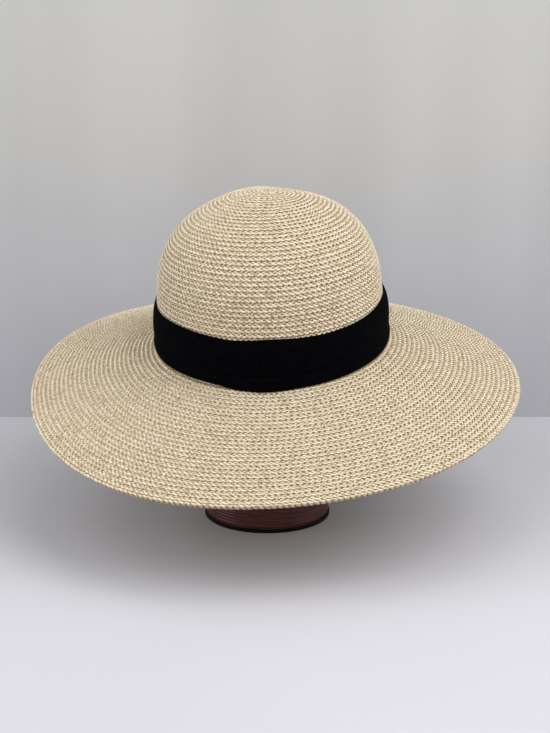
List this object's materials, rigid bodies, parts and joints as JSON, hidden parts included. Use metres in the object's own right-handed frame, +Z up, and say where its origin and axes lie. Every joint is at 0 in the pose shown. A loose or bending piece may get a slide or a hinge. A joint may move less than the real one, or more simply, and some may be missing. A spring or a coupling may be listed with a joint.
{
  "type": "wide-brim straw hat on a plain stand",
  "caption": "Wide-brim sun hat of sewn straw braid with a round crown and a black pleated ribbon band with a flat side bow, tipped forward on a plain round stand.",
  "frame": {"origin": "centre of the stand foot's underside, on the surface that the stand stands on", "axes": "+Z up, the front of the hat towards -Y, the wearer's left and the bow towards +X"},
  "size_m": [0.3842, 0.4043, 0.2622],
  "materials": {
    "straw": "sewn braid of ivory and tan paper straw, matt with small bright strands",
    "ribbon": "black woven ribbon, matt",
    "stand_wood": "dark reddish-brown satin varnish with turned grooves",
    "stand_foot": "black, matt"
  },
  "bodies": {
    "root": {"crown": "straw", "crown_wall": "straw", "brim": "straw", "band": "ribbon", "bow_loop_front": "ribbon", "bow_loop_back": "ribbon", "bow_knot": "ribbon", "stand_cap": "stand_wood", "stand_foot": "stand_foot", "stand_drum": "stand_wood", "stand_post": "stand_wood"}
  },
  "joints": []
}
